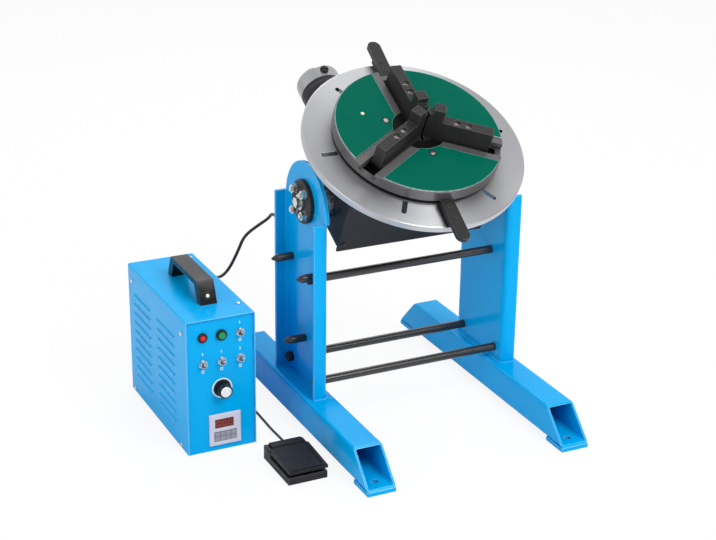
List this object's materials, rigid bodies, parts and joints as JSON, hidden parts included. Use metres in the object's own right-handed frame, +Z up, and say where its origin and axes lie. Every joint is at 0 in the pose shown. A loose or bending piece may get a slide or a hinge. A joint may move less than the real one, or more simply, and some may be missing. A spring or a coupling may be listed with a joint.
{
  "type": "welding positioner",
  "caption": "Bench welding positioner: tilting motor-driven turntable with lever scroll chuck on a two-column stand, with control box and foot pedal.",
  "frame": {"origin": "centre of the rectangle of floor bolt holes, on the floor", "axes": "+X along the cross rods to the right as seen from the front, -Y to the front, +Z up"},
  "size_m": [0.6015, 0.6338, 0.5871],
  "materials": {
    "blue_paint": "gloss",
    "black_paint": "satin",
    "bright_steel": "brushed",
    "zinc_fasteners": "satin",
    "black_oxide": "satin",
    "green_paint": "gloss",
    "chuck_steel": "brushed",
    "bronze": "satin",
    "motor_alloy": "satin",
    "black_plastic": "matte",
    "black_rubber": "matte",
    "red_lens": "gloss",
    "green_button": "gloss",
    "meter_plastic": "matte",
    "nickel": "polished",
    "grey_sheet": "satin"
  },
  "bodies": {
    "root": {"skids": "blue_paint", "foot_pads": "blue_paint", "left_column": "blue_paint", "right_column": "blue_paint", "bearing_plates": "blue_paint", "cross_rods": "black_paint", "rod_bolts": "black_oxide", "hanging_pegs": "black_paint", "bearing_flanges": "black_paint", "flange_bolts": "zinc_fasteners", "box_chassis": "blue_paint", "box_cover": "blue_paint", "carry_handle": "black_plastic", "case_screws": "zinc_fasteners", "panel_fittings": "nickel", "pilot_lamp": "red_lens", "meter_frame": "meter_plastic", "meter_face": "meter_plastic", "rear_sockets": "black_plastic", "box_electrics": "grey_sheet", "pedal_base": "black_paint", "motor_cable": "black_rubber", "motor_cable_ends": "black_plastic", "pedal_cable": "black_rubber", "pedal_cable_coil": "black_rubber", "pedal_cable_tail": "black_rubber", "pedal_cable_ends": "black_plastic"},
    "tilt": {"trunnions": "bright_steel", "clamp_bolts": "zinc_fasteners", "gear_housing": "black_paint", "housing_cover": "black_paint", "bronze_bushes": "bronze", "housing_screws": "black_oxide", "gearhead": "black_paint", "motor_can": "black_paint", "motor_bell": "motor_alloy", "brush_caps": "black_plastic"},
    "table": {"spindle": "bright_steel", "worm_wheel": "bronze", "table_disc": "bright_steel", "chuck_backplate": "chuck_steel", "chuck_body": "chuck_steel", "table_bolts": "black_oxide", "face_plates": "green_paint"},
    "worm": {"worm_shaft": "bright_steel"},
    "scroll": {"scroll_ring": "black_oxide", "lever_handles": "black_oxide"},
    "jaw_1": {"base_jaw_1": "black_oxide", "top_jaw_1": "black_oxide"},
    "jaw_2": {"base_jaw_2": "black_oxide", "top_jaw_2": "black_oxide"},
    "jaw_3": {"base_jaw_3": "black_oxide", "top_jaw_3": "black_oxide"},
    "toggle_1": {"toggle_lever_1": "nickel"},
    "toggle_2": {"toggle_lever_2": "nickel"},
    "toggle_3": {"toggle_lever_3": "nickel"},
    "toggle_4": {"toggle_lever_4": "nickel"},
    "button": {"push_button": "green_button"},
    "knob": {"speed_knob": "black_plastic"},
    "flap": {"pedal_flap": "black_plastic"}
  },
  "joints": [
    {"name": "tilt", "type": "hinge", "parent": "root", "child": "tilt", "pos_m": [0, 0.0165, 0.377], "axis": [1, 0, 0], "range_deg": [-28.5, 61.5]},
    {"name": "table_spin", "type": "hinge", "parent": "tilt", "child": "table", "pos_m": [0, -0.03265, 0.46752], "axis": [0, -0.4772, 0.8788], "continuous": true},
    {"name": "worm_spin", "type": "hinge", "parent": "tilt", "child": "worm", "pos_m": [-0.066, -0.00163, 0.4104], "axis": [0, 0.8788, 0.4772], "continuous": true},
    {"name": "scroll_turn", "type": "hinge", "parent": "table", "child": "scroll", "pos_m": [0, -0.03265, 0.46752], "axis": [0, -0.4772, 0.8788], "range_deg": [-90, 1080]},
    {"name": "jaw_1_slide", "type": "slide", "parent": "table", "child": "jaw_1", "axis": [0, 0.8788, 0.4772], "range_m": [-0.002, 0.024]},
    {"name": "jaw_2_slide", "type": "slide", "parent": "table", "child": "jaw_2", "axis": [0.866, -0.4394, -0.2386], "range_m": [-0.002, 0.024]},
    {"name": "jaw_3_slide", "type": "slide", "parent": "table", "child": "jaw_3", "axis": [-0.866, -0.4394, -0.2386], "range_m": [-0.002, 0.024]},
    {"name": "toggle_1_throw", "type": "hinge", "parent": "root", "child": "toggle_1", "pos_m": [-0.3715, -0.044, 0.1565], "axis": [1, 0, 0], "range_deg": [0, 28]},
    {"name": "toggle_2_throw", "type": "hinge", "parent": "root", "child": "toggle_2", "pos_m": [-0.34, -0.044, 0.1565], "axis": [1, 0, 0], "range_deg": [0, 28]},
    {"name": "toggle_3_throw", "type": "hinge", "parent": "root", "child": "toggle_3", "pos_m": [-0.3085, -0.044, 0.1565], "axis": [1, 0, 0], "range_deg": [0, 28]},
    {"name": "toggle_4_throw", "type": "hinge", "parent": "root", "child": "toggle_4", "pos_m": [-0.3085, -0.044, 0.201], "axis": [1, 0, 0], "range_deg": [0, 28]},
    {"name": "button_press", "type": "slide", "parent": "root", "child": "button", "axis": [0, 1, 0], "range_m": [0, 0.003], "stiffness_N_per_m": 300, "springref_m": -0.004},
    {"name": "knob_turn", "type": "hinge", "parent": "root", "child": "knob", "pos_m": [-0.34, -0.056, 0.109], "axis": [0, 1, 0], "range_deg": [-150, 150]},
    {"name": "pedal_press", "type": "hinge", "parent": "root", "child": "flap", "pos_m": [-0.26, -0.1145, 0.019], "axis": [1, 0, 0], "range_deg": [0, 4], "stiffness_Nm_per_rad": 8, "springref_deg": -4.58}
  ],
  "couplings": [
    {"joint": "worm_spin", "follows": "table_spin", "ratio": 45},
    {"joint": "jaw_1_slide", "follows": "scroll_turn", "m_per_rad": 0.0012732},
    {"joint": "jaw_2_slide", "follows": "scroll_turn", "m_per_rad": 0.0012732},
    {"joint": "jaw_3_slide", "follows": "scroll_turn", "m_per_rad": 0.0012732}
  ]
}
